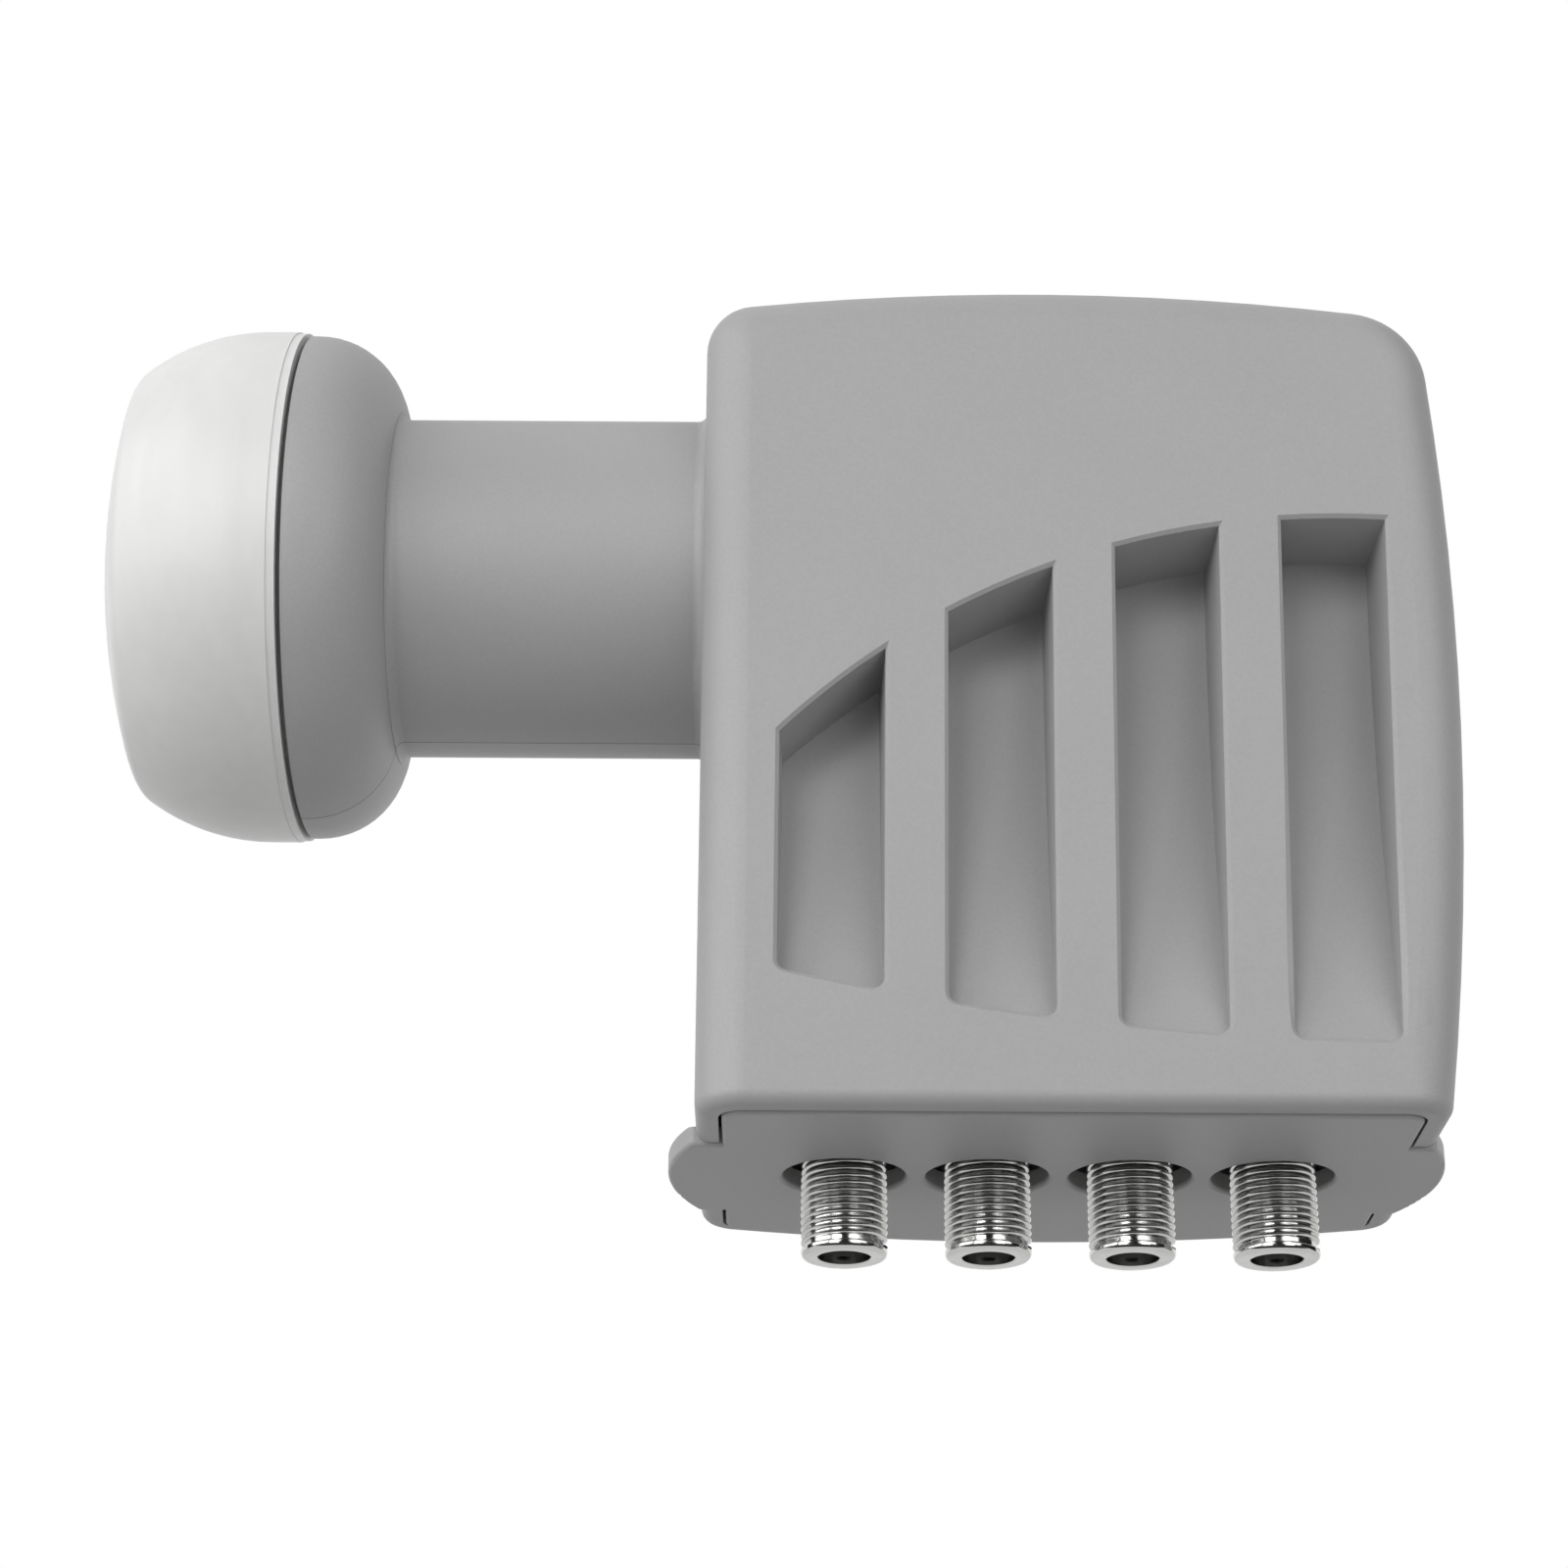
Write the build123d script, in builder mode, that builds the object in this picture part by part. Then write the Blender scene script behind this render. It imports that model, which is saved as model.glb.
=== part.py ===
"""Four-output satellite LNB with a 40 mm neck and a pull-down weather cover.

Frame: +X runs along the feed from the white horn cap towards the electronics box, +Z is up
(the outputs point down) and +Y is the rear. The origin is the middle of the clamping neck.
The two grey shells part on the plane Y = 0, which holds the neck axis and the row of outputs.
"""

import os
from math import sqrt

from build123d import *

os.makedirs("parts", exist_ok=True)

# Clamping neck and plastic shell
neck_diameter = 40.0
neck_length = 35.0
neck_root_round = 1.2
shell_wall = 2.5

# Electronics box, seen from the front
box_front = 25.0
box_rear = 27.9
box_bottom_z = -72.0
box_top_z = 28.1
box_width = 84.05
crown_offset = 38.0
crown_radius = 288.0
bulge_z = -12.0
bulge_radius = 392.0
corner_round_left = 5.6
corner_round_right = 9.5
face_round = 5.2
rear_face_round = 4.5
bottom_round = 1.6
rear_bow_radius = 130.0
rear_bow_offset = 37.9

# Bell behind the horn cap
bell_set_in = 0.45
bell_lip = 0.7
bell_root_round = 1.0
spigot_clearance = 0.3
spigot_wall = 1.6
spigot_length = 4.2

# White horn cap
cap_diameter = 60.4
cap_length = 23.05
cap_dome_radius = 80.0
cap_flank_radius = 23.75
cap_straight = 4.4
cap_wall = 1.7
cap_shoulder_round = 2.5
cap_gap = 0.6
cap_rim_band = 1.0
cap_rim_step = 0.15

# Ramped recesses in the front face
recess_count = 4
recess_width = 11.7
recess_left_margin = 8.75
recess_right_margin = 7.8
recess_lean = 0.028
recess_depth = 10.7
recess_deepest_z = -3.0
recess_floor_radius = 196.0
recess_top_radius = 87.0
recess_top_offset = 71.25
recess_top_z = -2.9
recess_base_radius = 286.0
recess_base_offset = 74.25
recess_base_rise = 7.4
recess_corner_round = 1.2
recess_draft = 2.5
recess_rim_chamfer = 0.4

# Weather cover: foot plate with finger ears and a hood that slides inside the shells
foot_thickness = 2.2
foot_proud = 0.35
foot_gap = 0.35
foot_front_gap = 0.3
foot_edge_round = 0.5
ear_front_y = -11.1
ear_rear_y = 13.1
ear_reach_left = 3.3
ear_reach_right = 2.6
ear_nose_radius = 27.0
ear_nose_y = 0.5
ear_corner_round = 0.8
ear_gap = 0.35
hood_side_gap = 2.5
hood_recess_gap = 0.53
hood_wall = 1.5
hood_rise = 35.0
hood_corner_round = 2.0
plug_hole_diameter = 13.5
latch_reach = 1.8
latch_height = 2.4
latch_width = 8.0
latch_slope = 1.2
guide_rise = 7.6
guide_thickness = 2.0
guide_gap = 0.4

# Die-cast chassis: horn, waveguide and tray
waveguide_bore = 17.5
waveguide_wall = 2.75
guide_end_wall = 2.0
horn_mouth_length = 5.5
horn_mouth_set_in = 3.0
horn_mouth_wall = 1.5
horn_seat_clearance = 1.5
horn_seat_length = 6.0
horn_back_gap = 1.45
horn_back_set_in = 5.0
horn_cone_length = 9.0
ring_count = 3
ring_wall = 1.3
ring_step = 3.0
ring_depth = 6.0
neck_ring_clearance = 0.2
neck_ring_thickness = 2.0
neck_ring_inset = 5.1
tray_left_gap = 6.6
tray_right_gap = 4.7
tray_rise = 11.0
tray_top_gap = 5.6
tray_recess_gap = 0.3
tray_wall = 2.0
tray_floor = 1.8
tray_corner_round = 2.0
partition_z = -12.5
partition_wall = 2.0
pedestal_margin = 4.0
pedestal_depth = 8.0
board_rib_wall = 1.5
post_radius = 2.9
post_inset = 3.2
post_low_rise = 9.0

# Seal between horn and cap
seal_section = 2.2
seal_groove_spare = 0.3
seal_groove_clearance = 0.1
seal_cap_clearance = 0.35

# Chassis lid, gasket and lid screws
gasket_thickness = 0.5
gasket_width = 1.8
lid_thickness = 1.6
lid_hood_gap = 0.4
lid_edge = 0.2
lid_screw_radius = 1.0
lid_screw_head_radius = 2.1
lid_screw_length = 8.0
lid_screw_slot = 0.6
screw_clearance = 0.15
thread_clearance = 0.05
hole_spare = 0.5

# Circuit board and what stands on it
board_thickness = 1.6
board_clearance = 0.3
board_seat_gap = 0.1
shield_width = 17.0
shield_length = 24.0
shield_height = 4.2
shield_wall = 0.4
shield_z = -33.0
chip_width = 6.0
chip_height = 0.9
chip_inset = 14.8
chip_z = (-24.0, -34.0, -44.0)
puck_radius = 2.8
puck_height = 2.2
puck_inset = 13.6
puck_z = (-24.0, -40.0)
tuning_screw_radius = 2.0
tuning_gap = 1.5

# Probes in the waveguide
probe_radius = 0.5
probe_first_inset = 10.8
probe_spacing = 7.0
probe_end_gap = 6.0
probe_tip_depth = 4.5
probe_arm = 4.5
probe_bend_radius = 1.2
probe_tail_length = 3.5
bush_radius = 2.0
bush_clearance = 0.05

# F connectors
output_count = 4
output_left_margin = 16.1
output_right_margin = 20.7
thread_diameter = 9.525
connector_reach = 9.5
connector_flange_radius = 6.0
connector_flange_height = 2.0
connector_spigot_radius = 4.0
connector_seat_clearance = 0.05
connector_bore_radius = 3.2
connector_mouth_radius = 2.88
connector_lip = 1.6
connector_chamfer = 0.35
insulator_clearance = 0.05
contact_radius = 0.8
contact_bore_radius = 0.5
contact_bore_depth = 8.0
contact_recess = 0.8
contact_tail_radius = 0.5
contact_tail_length = 4.0

# Screws that close the shells, driven from the rear
boss_radius = 3.1
boss_left_inset = 5.2
boss_right_inset_high = 6.05
boss_right_inset_low = 5.45
boss_left_drop = 7.5
boss_right_drop = 13.1
boss_low_rise = 42.0
shell_screw_radius = 1.25
shell_screw_head_radius = 2.1
shell_screw_head_height = 1.8
shell_screw_length = 16.0
shell_screw_seat_y = 6.0
shell_screw_slot = 0.8

# Ribs in the rear shell that press on the chassis lid
lid_rib_inset = 15.8
lid_rib_wall = 2.0
lid_rib_low_z = -30.0
lid_rib_high_z = 18.0
lid_rib_gap = 0.3

# Places worked out from the sizes above
neck_radius = neck_diameter / 2
neck_half = neck_length / 2
neck_bore_radius = neck_radius - shell_wall
box_left = neck_half
box_right = box_left + box_width
box_crown_x = box_left + crown_offset
rear_bow_x = box_left + rear_bow_offset
cap_radius = cap_diameter / 2
cap_bore_radius = cap_radius - cap_wall
bell_radius = cap_radius - bell_set_in
bell_round = bell_radius - neck_radius
bell_arc_x = -neck_half - bell_root_round - bell_round
bell_front_x = bell_arc_x - bell_lip
spigot_radius = cap_bore_radius - spigot_clearance
spigot_bore_radius = spigot_radius - spigot_wall
spigot_front_x = bell_front_x - spigot_length
cap_back_x = bell_front_x - cap_gap
cap_nose_x = cap_back_x - cap_length
cap_flank_x = cap_back_x - cap_straight
bulge_centre_x = box_right - bulge_radius
right_bottom_x = bulge_centre_x + sqrt(bulge_radius**2 - (bulge_z - box_bottom_z) ** 2)
bow_centre_y = box_rear - rear_bow_radius
low_z = box_bottom_z - 2 * box_front
foot_bottom_z = box_bottom_z - foot_proud
foot_top_z = foot_bottom_z + foot_thickness
foot_left = box_left + shell_wall + foot_gap
foot_right = right_bottom_x - shell_wall - foot_gap
foot_front_y = shell_wall + foot_front_gap - box_front
foot_front_round = face_round - shell_wall - foot_gap
foot_rear_round = rear_face_round - shell_wall - foot_gap
ear_left_x = box_left - ear_reach_left
ear_right_x = right_bottom_x + ear_reach_right
ear_middle_x = (ear_left_x + ear_right_x) / 2
ear_width = ear_rear_y - ear_front_y
ear_middle_y = (ear_front_y + ear_rear_y) / 2
recess_span = box_width - recess_left_margin - recess_width - recess_right_margin
recess_pitch = recess_span / (recess_count - 1)
recess_first_x = box_left + recess_left_margin
recess_top_x = box_left + recess_top_offset
recess_base_x = box_left + recess_base_offset
recess_base_z = box_bottom_z + recess_base_rise
recess_floor_y = recess_depth - box_front
recess_wall_y = recess_floor_y + shell_wall
hood_left = box_left + shell_wall + hood_side_gap
hood_right = right_bottom_x - shell_wall - hood_side_gap
hood_top_z = box_bottom_z + hood_rise
recess_wall_radius = recess_floor_radius + shell_wall
recess_arch = recess_wall_radius - sqrt(recess_wall_radius**2 - (hood_top_z - recess_deepest_z) ** 2)
hood_half_depth = recess_arch - recess_wall_y - hood_recess_gap
guide_top_z = box_bottom_z + guide_rise
hood_size = (hood_right - hood_left, 2 * hood_half_depth)
hood_centre = ((hood_left + hood_right) / 2, 0)
output_pitch = (box_width - output_left_margin - output_right_margin) / (output_count - 1)
output_first_x = box_left + output_left_margin
output_points = [(output_first_x + output_pitch * index, 0) for index in range(output_count)]
waveguide_radius = waveguide_bore / 2
tube_radius = waveguide_radius + waveguide_wall
horn_seat_radius = cap_bore_radius - horn_seat_clearance
horn_mouth_radius = horn_seat_radius - horn_mouth_set_in
horn_back_radius = horn_seat_radius - horn_back_set_in
horn_back_x = spigot_front_x - horn_back_gap
horn_root_x = horn_back_x + horn_cone_length
horn_seat_front_x = horn_back_x - horn_seat_length
horn_mouth_x = horn_seat_front_x - horn_mouth_length
neck_ring_radius = neck_bore_radius - neck_ring_clearance
neck_ring_x = neck_half - neck_ring_inset
ring_pitch = (horn_mouth_radius - horn_mouth_wall - waveguide_radius) / ring_count
seal_x = (horn_seat_front_x + horn_back_x) / 2
seal_radius = cap_bore_radius - seal_cap_clearance - seal_section / 2
seal_groove_width = seal_section + seal_groove_spare
seal_groove_radius = seal_radius - seal_section / 2 - seal_groove_clearance
board_face_y = contact_tail_radius + board_seat_gap
board_back_y = board_face_y + board_thickness
lid_rear_y = hood_half_depth - hood_wall - lid_hood_gap
lid_front_y = lid_rear_y - lid_thickness
tray_rear_y = lid_front_y - gasket_thickness
tray_front_y = recess_wall_y + tray_recess_gap
tray_left = box_left + shell_wall + tray_left_gap
tray_right = right_bottom_x - shell_wall - tray_right_gap
tray_bottom_z = box_bottom_z + tray_rise
tray_top_z = box_top_z - tray_top_gap
tray_size = (tray_right - tray_left, tray_top_z - tray_bottom_z)
tray_centre = ((tray_left + tray_right) / 2, (tray_bottom_z + tray_top_z) / 2)
inner_size = (tray_size[0] - 2 * tray_wall, tray_size[1] - 2 * tray_wall)
inner_front_y = tray_front_y + tray_floor
partition_bottom_z = partition_z - partition_wall / 2
bay_bottom_z = tray_bottom_z + tray_wall
bay_size = (inner_size[0], partition_bottom_z - bay_bottom_z)
bay_centre = (tray_centre[0], (partition_bottom_z + bay_bottom_z) / 2)
post_columns = (tray_left + post_inset, tray_right - post_inset)
post_rows = (tray_bottom_z + post_low_rise, partition_z, tray_top_z - post_inset)
post_points = [(x, z) for x in post_columns for z in post_rows]
lid_size = (tray_size[0] - 2 * lid_edge, tray_size[1] - 2 * lid_edge)
lid_rib_x = (tray_left + lid_rib_inset, tray_right - lid_rib_inset)
shield_x = tray_centre[0]
chip_x = tray_left + chip_inset
puck_x = tray_right - puck_inset
tuning_points = [(puck_x, z) for z in puck_z]
tuning_end_y = board_back_y + puck_height + tuning_gap
probe_horizontal_x = tray_left + probe_first_inset
probe_vertical_x = probe_horizontal_x + probe_spacing
guide_end_x = probe_vertical_x + probe_end_gap
pedestal_left = probe_horizontal_x - pedestal_margin
pedestal_right = probe_vertical_x + pedestal_margin
probe_points = [(probe_vertical_x, 0), (probe_horizontal_x, 0)]
probe_tail_z = partition_bottom_z - probe_tail_length
thread_radius = thread_diameter / 2
connector_tip_z = box_bottom_z - connector_reach
flange_bottom_z = tray_bottom_z - connector_flange_height
insulator_front_z = connector_tip_z + connector_lip
contact_front_z = insulator_front_z + contact_recess
boss_left_x = box_left + boss_left_inset
boss_low_z = box_bottom_z + boss_low_rise
boss_points = (
    (boss_left_x, box_top_z - boss_left_drop),
    (box_right - boss_right_inset_high, box_top_z - boss_right_drop),
    (boss_left_x, boss_low_z),
    (box_right - boss_right_inset_low, boss_low_z),
)


def box_outline(inset):
    """Side view of the box: straight neck side, arched top and bulged far side."""
    with BuildSketch(Plane.XZ) as outline:
        with Locations((box_left + inset, low_z)):
            Rectangle(box_right, 2 * (box_top_z - low_z), align=(Align.MIN, Align.MIN))
        with Locations((box_crown_x, box_top_z - crown_radius)):
            Circle(crown_radius - inset, mode=Mode.INTERSECT)
        with Locations(Location((bulge_centre_x, bulge_z, 0), (0, 0, 180))):
            Circle(bulge_radius - inset, mode=Mode.INTERSECT)
        fillet(outline.vertices().sort_by(Axis.Y)[-1], radius=corner_round_left - inset)
        fillet(outline.vertices().sort_by(Axis.X)[-1], radius=corner_round_right - inset)
    return outline.sketch


def plan_outline(left, right, front_y, bow_inset):
    """Plan of the box or of its foot: straight front and sides, rear edge bowed outwards."""
    bow_radius = rear_bow_radius - bow_inset
    left_y = bow_centre_y + sqrt(bow_radius**2 - (left - rear_bow_x) ** 2)
    right_y = bow_centre_y + sqrt(bow_radius**2 - (right - rear_bow_x) ** 2)
    with BuildSketch(Plane.XY) as plan:
        with BuildLine():
            Polyline((left, left_y), (left, front_y), (right, front_y), (right, right_y))
            ThreePointArc((right, right_y), (rear_bow_x, bow_centre_y + bow_radius), (left, left_y))
        make_face()
    return plan.sketch


def box_volume(inset):
    """The box as a solid block, open-ended below; inset by the wall it is the hollow."""
    side = box_outline(inset)
    plan = plan_outline(box_left - face_round, box_right + face_round, inset - box_front, inset)
    with BuildPart() as block:
        extrude(side, amount=box_front + box_rear, both=True)
        extrude(plan.moved(Location((0, 0, 2 * low_z))), amount=2 * (box_top_z - 2 * low_z), mode=Mode.INTERSECT)
        fillet(block.faces().sort_by(Axis.Y)[0].edges().sort_by(Axis.Z)[1:], radius=face_round - inset)
        fillet(block.faces().sort_by(Axis.Y)[-1].edges().sort_by(Axis.Z)[1:], radius=rear_face_round - inset)
    return block.part


def horn_form(outside, points_before, points_after):
    """Turned form about the feed axis with a quarter-round bell of the given outside radius."""
    arc_round = outside - neck_radius
    with BuildPart() as form:
        with BuildSketch(Plane.XY) as profile:
            with BuildLine():
                Polyline(*points_before, (bell_arc_x + arc_round, neck_radius))
                CenterArc((bell_arc_x, neck_radius), arc_round, 0, 90)
                Polyline((bell_arc_x, outside), *points_after, points_before[0])
            make_face()
        revolve(axis=Axis.X)
    return form.part


def recess_form(index, grow):
    """Space of one ramped recess, or the block of its walls when it is grown by the wall."""
    left = recess_first_x + recess_pitch * index
    right = left + recess_width
    low_left = left - recess_lean * (left - box_left)
    low_right = right - recess_lean * (right - box_left)
    with BuildPart() as form:
        with BuildSketch(Plane.XZ.offset(box_front)) as rim:
            with BuildLine():
                Polyline(
                    (low_left, recess_base_z),
                    (left, recess_top_z),
                    (right, recess_top_z),
                    (low_right, recess_base_z),
                    close=True,
                )
            make_face()
            with Locations((recess_top_x, recess_top_z - recess_top_radius)):
                Circle(recess_top_radius, mode=Mode.INTERSECT)
            with Locations((recess_base_x, recess_base_z + recess_base_radius)):
                Circle(recess_base_radius, mode=Mode.INTERSECT)
            fillet(rim.vertices().sort_by(Axis.Y)[:2], radius=recess_corner_round)
            if grow > 0:
                offset(amount=grow, kind=Kind.INTERSECTION)
        extrude(amount=-(recess_depth + grow), taper=recess_draft)
        with BuildSketch(Plane.YZ.offset(low_left - recess_width)):
            with Locations((recess_floor_y - recess_floor_radius, recess_deepest_z)):
                Circle(recess_floor_radius + grow)
        extrude(amount=4 * recess_width, mode=Mode.INTERSECT)
    return form.part


def cap_form(inset):
    """Turned form of the horn cap; inset by its wall it is the hollow."""
    back_x = cap_back_x if inset == 0 else cap_back_x + cap_rim_band
    with BuildPart() as form:
        with BuildSketch(Plane.XY) as profile:
            with Locations((cap_flank_x, cap_radius - cap_flank_radius)):
                Circle(cap_flank_radius - inset)
            with Locations((cap_flank_x, 0)):
                Rectangle(back_x - cap_flank_x, cap_radius - inset, align=(Align.MIN, Align.MIN))
            with Locations((cap_nose_x + cap_dome_radius, 0)):
                Circle(cap_dome_radius - inset, mode=Mode.INTERSECT)
            with Locations((back_x, 0)):
                Rectangle(2 * cap_diameter, cap_diameter, align=(Align.MAX, Align.MIN), mode=Mode.INTERSECT)
            shoulder = profile.vertices().sort_by(Axis.X)[1]
            fillet(shoulder, radius=cap_shoulder_round - inset)
        revolve(axis=Axis.X)
    return form.part


# Outer block, hollow and half-wall limit of the two shells
block_form = box_volume(0)
hollow_form = box_volume(shell_wall)
limit_form = box_volume(shell_wall / 2)
recess_wall_forms = [recess_form(index, shell_wall) for index in range(recess_count)]
recess_forms = [recess_form(index, 0) for index in range(recess_count)]

neck_end_x = box_left + shell_wall / 2
bore_end_x = box_left + 2 * shell_wall
bell_root_x = bell_arc_x + bell_round
horn_outside = horn_form(
    bell_radius,
    [(neck_end_x, 0), (neck_end_x, neck_radius)],
    [
        (bell_front_x, bell_radius),
        (bell_front_x, spigot_radius),
        (spigot_front_x, spigot_radius),
        (spigot_front_x, 0),
    ],
)
bell_bore_radius = bell_radius - shell_wall
horn_hollow = horn_form(
    bell_bore_radius,
    [(bore_end_x, 0), (bore_end_x, neck_bore_radius), (bell_root_x - shell_wall, neck_bore_radius)],
    [(bell_arc_x, spigot_bore_radius), (spigot_front_x, spigot_bore_radius), (spigot_front_x, 0)],
)

# Concave rounds where the neck runs into the bell and into the box
with BuildPart() as neck_flares:
    with BuildSketch(Plane.XY):
        with BuildLine():
            Polyline(
                (-neck_half, neck_bore_radius + shell_wall / 2),
                (-neck_half, neck_radius),
            )
            CenterArc((-neck_half, neck_radius + bell_root_round), bell_root_round, 180, 90)
            Polyline(
                (-neck_half - bell_root_round, neck_radius + bell_root_round),
                (bell_arc_x + bell_round / 2, neck_bore_radius + shell_wall / 2),
                (-neck_half, neck_bore_radius + shell_wall / 2),
            )
        make_face()
        with BuildLine():
            Polyline(
                (box_left - neck_root_round, neck_bore_radius + shell_wall / 2),
                (box_left - neck_root_round, neck_radius),
            )
            CenterArc((box_left - neck_root_round, neck_radius + neck_root_round), neck_root_round, 270, 90)
            Polyline(
                (box_left, neck_radius + neck_root_round),
                (neck_end_x, neck_radius + neck_root_round),
                (neck_end_x, neck_bore_radius + shell_wall / 2),
                (box_left - neck_root_round, neck_bore_radius + shell_wall / 2),
            )
        make_face()
    revolve(axis=Axis.X)

with BuildPart() as box_block:
    add(block_form)
    split(bisect_by=Plane.XY.offset(box_bottom_z), keep=Keep.TOP)
    fillet(box_block.faces().sort_by(Axis.Z)[0].edges(), radius=bottom_round)

with BuildPart() as inner_limit:
    add(limit_form)
    split(bisect_by=Plane.XY.offset(box_bottom_z), keep=Keep.TOP)

# Both shells as one closed skin, before they are parted
with BuildPart() as skin:
    add(box_block.part)
    add(horn_outside)
    add(neck_flares.part)
    add(hollow_form, mode=Mode.SUBTRACT)
    add(horn_hollow, mode=Mode.SUBTRACT)
    with BuildSketch(Plane.XY.offset(low_z)):
        with Locations((ear_middle_x, ear_middle_y)):
            Rectangle(2 * box_right, ear_width + 2 * ear_gap)
    extrude(amount=foot_top_z + ear_gap - low_z, mode=Mode.SUBTRACT)

# Frame inside the box that guides the hood and stops it at full travel
with BuildPart() as guide_frame:
    with BuildSketch(Plane.XY.offset(guide_top_z - guide_thickness)):
        with Locations(hood_centre):
            Rectangle(2 * box_right, 4 * box_front)
            RectangleRounded(
                hood_size[0] + 2 * guide_gap,
                hood_size[1] + 2 * guide_gap,
                hood_corner_round + guide_gap,
                mode=Mode.SUBTRACT,
            )
    extrude(amount=guide_thickness)
    add(inner_limit.part, mode=Mode.INTERSECT)

# Columns for the screws that close the shells
with BuildPart() as boss_columns:
    with BuildSketch(Plane.XZ.offset(-box_rear)):
        with Locations(*boss_points):
            Circle(boss_radius)
    extrude(amount=box_front + box_rear)
    add(inner_limit.part, mode=Mode.INTERSECT)

with BuildPart() as recess_walls:
    for wall_form in recess_wall_forms:
        add(wall_form)
    add(box_block.part, mode=Mode.INTERSECT)

with BuildPart() as lid_ribs:
    with BuildSketch(Plane.XY.offset(lid_rib_low_z)):
        with Locations(*[(x, lid_rear_y + lid_rib_gap) for x in lid_rib_x]):
            Rectangle(lid_rib_wall, box_rear, align=(Align.CENTER, Align.MIN))
    extrude(amount=lid_rib_high_z - lid_rib_low_z)
    add(inner_limit.part, mode=Mode.INTERSECT)

with BuildPart() as shell_front:
    add(skin.part)
    add(guide_frame.part)
    add(boss_columns.part)
    split(bisect_by=Plane.XZ, keep=Keep.TOP)
    add(recess_walls.part)
    for pocket_form in recess_forms:
        add(pocket_form, mode=Mode.SUBTRACT)
    rim_edges = ShapeList()
    for rim_wire in shell_front.faces().filter_by(Plane.XZ).sort_by(Axis.Y)[0].inner_wires():
        rim_edges.extend(rim_wire.edges())
    chamfer(rim_edges, length=recess_rim_chamfer)
    with BuildSketch(Plane.XZ):
        with Locations(*boss_points):
            Circle(shell_screw_radius + thread_clearance)
    extrude(amount=shell_screw_length - shell_screw_seat_y + hole_spare, mode=Mode.SUBTRACT)
shell_front.part.label = "shell_front"
export_step(shell_front.part, "parts/shell_front.step")

with BuildPart() as shell_rear:
    add(skin.part)
    add(guide_frame.part)
    add(boss_columns.part)
    split(bisect_by=Plane.XZ, keep=Keep.BOTTOM)
    add(lid_ribs.part)
    with BuildSketch(Plane.XZ):
        with Locations(*boss_points):
            Circle(shell_screw_radius + screw_clearance)
    extrude(amount=-box_rear, mode=Mode.SUBTRACT)
    with BuildSketch(Plane.XZ.offset(-shell_screw_seat_y)):
        with Locations(*boss_points):
            Circle(shell_screw_head_radius + screw_clearance)
    extrude(amount=-box_rear, mode=Mode.SUBTRACT)
shell_rear.part.label = "shell_rear"
export_step(shell_rear.part, "parts/shell_rear.step")

with BuildPart() as shell_screws:
    with BuildSketch(Plane.XZ.offset(-shell_screw_seat_y)):
        with Locations(*boss_points):
            Circle(shell_screw_radius)
    extrude(amount=shell_screw_length)
    with BuildSketch(Plane.XZ.offset(-shell_screw_seat_y)):
        with Locations(*boss_points):
            Circle(shell_screw_head_radius)
    extrude(amount=-shell_screw_head_height)
    with BuildSketch(Plane.XZ.offset(-shell_screw_seat_y - shell_screw_head_height)):
        with Locations(*boss_points):
            Rectangle(2 * shell_screw_radius, shell_screw_slot)
            Rectangle(shell_screw_slot, 2 * shell_screw_radius)
    extrude(amount=shell_screw_slot, mode=Mode.SUBTRACT)
shell_screws.part.label = "shell_screws"
export_step(shell_screws.part, "parts/shell_screws.step")

# Weather cover
with BuildSketch(Plane.XY) as left_ear:
    with Locations((ear_left_x, ear_middle_y)):
        Rectangle(ear_middle_x - ear_left_x, ear_width, align=(Align.MIN, Align.CENTER))
    with Locations((ear_left_x + ear_nose_radius, ear_nose_y)):
        Circle(ear_nose_radius, mode=Mode.INTERSECT)
    fillet(left_ear.vertices().sort_by(Axis.X)[:2], radius=ear_corner_round)

with BuildSketch(Plane.XY) as right_ear:
    with Locations((ear_right_x, ear_middle_y)):
        Rectangle(ear_right_x - ear_middle_x, ear_width, align=(Align.MAX, Align.CENTER))
    with Locations(Location((ear_right_x - ear_nose_radius, ear_nose_y, 0), (0, 0, 180))):
        Circle(ear_nose_radius, mode=Mode.INTERSECT)
    fillet(right_ear.vertices().sort_by(Axis.X)[-2:], radius=ear_corner_round)

with BuildSketch(Plane.XY) as foot_plan:
    add(plan_outline(foot_left, foot_right, foot_front_y, shell_wall + foot_gap))
    fillet(foot_plan.vertices().sort_by(Axis.Y)[:2], radius=foot_front_round)
    fillet(foot_plan.vertices().sort_by(Axis.Y)[-2:], radius=foot_rear_round)
    add(left_ear.sketch)
    add(right_ear.sketch)
    with Locations(*output_points):
        Circle(plug_hole_diameter / 2, mode=Mode.SUBTRACT)

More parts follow.
